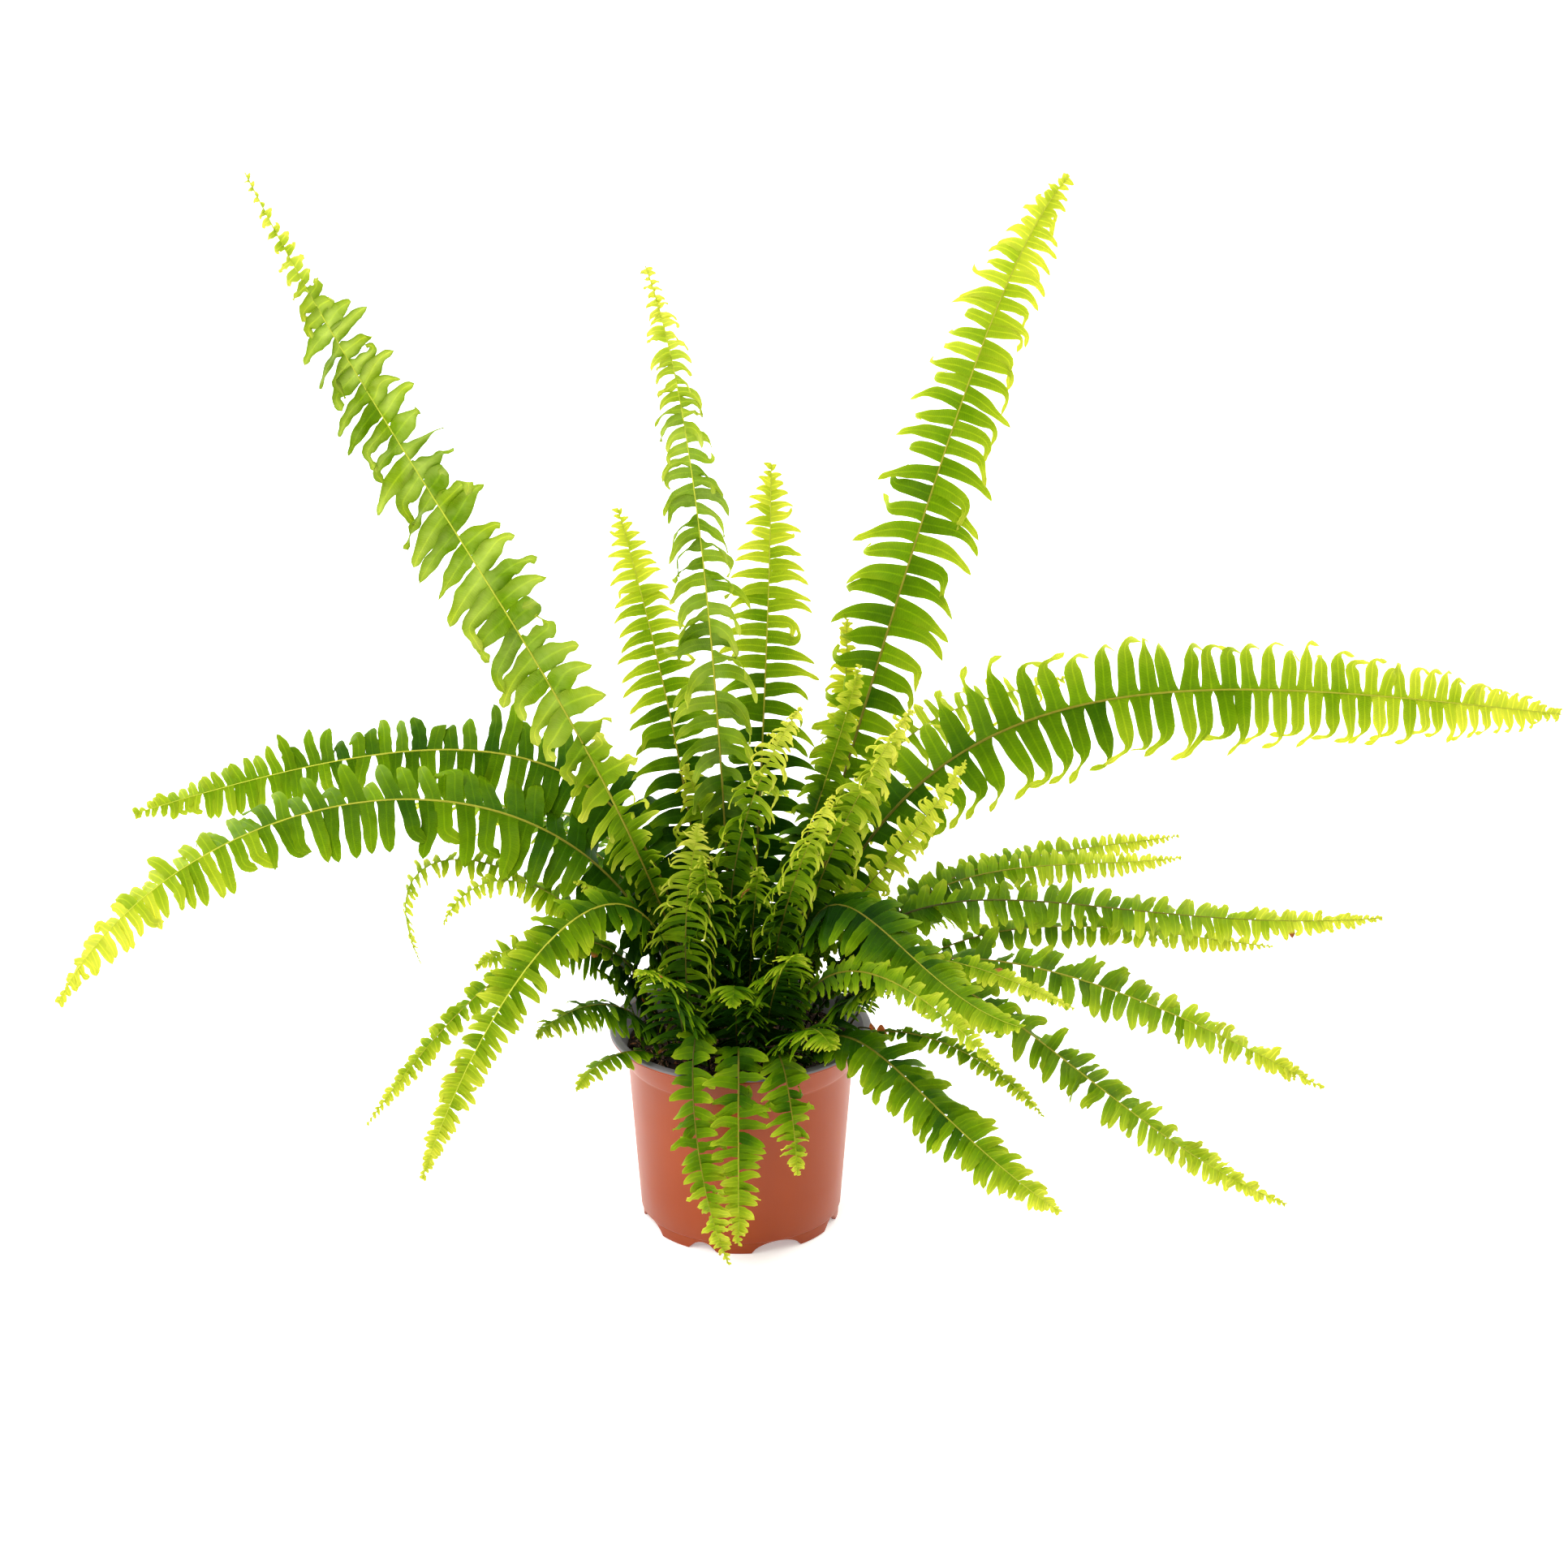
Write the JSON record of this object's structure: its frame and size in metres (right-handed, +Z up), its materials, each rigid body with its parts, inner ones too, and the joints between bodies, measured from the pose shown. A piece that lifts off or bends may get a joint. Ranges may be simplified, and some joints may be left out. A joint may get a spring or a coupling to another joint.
{
  "type": "potted fern",
  "caption": "Sword fern with arching feathery fronds growing from soil in a round two-tone nursery pot.",
  "frame": {"origin": "middle of the whole plant's box, on the surface that the pot stands on; the pot's axis is 40 mm towards -X and 29 mm towards -Y of it", "axes": "+X towards the longest frond on the right, +Y towards the back, +Z up"},
  "size_m": [0.6878, 0.35, 0.5],
  "materials": {
    "pot": "satin",
    "soil": "matte",
    "leaf": "satin",
    "leaf_young": "satin",
    "runner": "matte"
  },
  "bodies": {
    "root": {"frond_back_hanging": "leaf", "frond_back_left": "leaf", "frond_back_left_low": "leaf", "frond_back_left_upper": "leaf", "frond_back_middle": "leaf", "frond_back_right": "leaf", "frond_back_right_low": "leaf", "frond_centre_curl": "leaf_young", "frond_centre_leaning": "leaf_young", "frond_centre_left": "leaf_young", "frond_centre_tall": "leaf_young", "frond_front_bright": "leaf_young", "frond_front_hanging_left": "leaf", "frond_front_hanging_middle": "leaf", "frond_front_hanging_right": "leaf", "frond_front_left_arched": "leaf", "frond_front_left_bright": "leaf_young", "frond_front_left_thin": "leaf", "frond_front_right_broad": "leaf", "frond_front_right_edge": "leaf", "frond_front_right_low": "leaf", "frond_front_right_small": "leaf", "frond_left_hooked": "leaf_young", "frond_left_lower": "leaf", "frond_left_middle": "leaf", "frond_left_rim": "leaf_young", "frond_left_small": "leaf_young", "frond_left_sprout": "leaf_young", "frond_left_upper": "leaf", "frond_right_bright": "leaf_young", "frond_right_curly": "leaf_young", "frond_right_long": "leaf", "frond_right_low_1": "leaf", "frond_right_low_2": "leaf", "frond_right_low_3": "leaf", "frond_right_low_4": "leaf", "frond_right_low_5": "leaf", "frond_right_low_6": "leaf", "frond_right_thin": "leaf", "frond_right_yellow": "leaf_young", "frond_right_yellow_low": "leaf_young", "frond_upper_left": "leaf", "frond_upper_middle": "leaf", "frond_upper_right": "leaf", "frond_young_front": "leaf_young", "frond_young_front_left": "leaf_young", "frond_young_front_low": "leaf_young", "frond_young_front_right": "leaf_young", "frond_young_left": "leaf_young", "frond_young_left_front": "leaf_young", "frond_young_low_front": "leaf_young", "frond_young_low_left": "leaf_young", "frond_young_low_right": "leaf_young", "frond_young_right": "leaf_young", "frond_young_right_front": "leaf_young", "pot": "pot", "runner_1": "runner", "runner_2": "runner", "soil": "soil"}
  },
  "joints": []
}
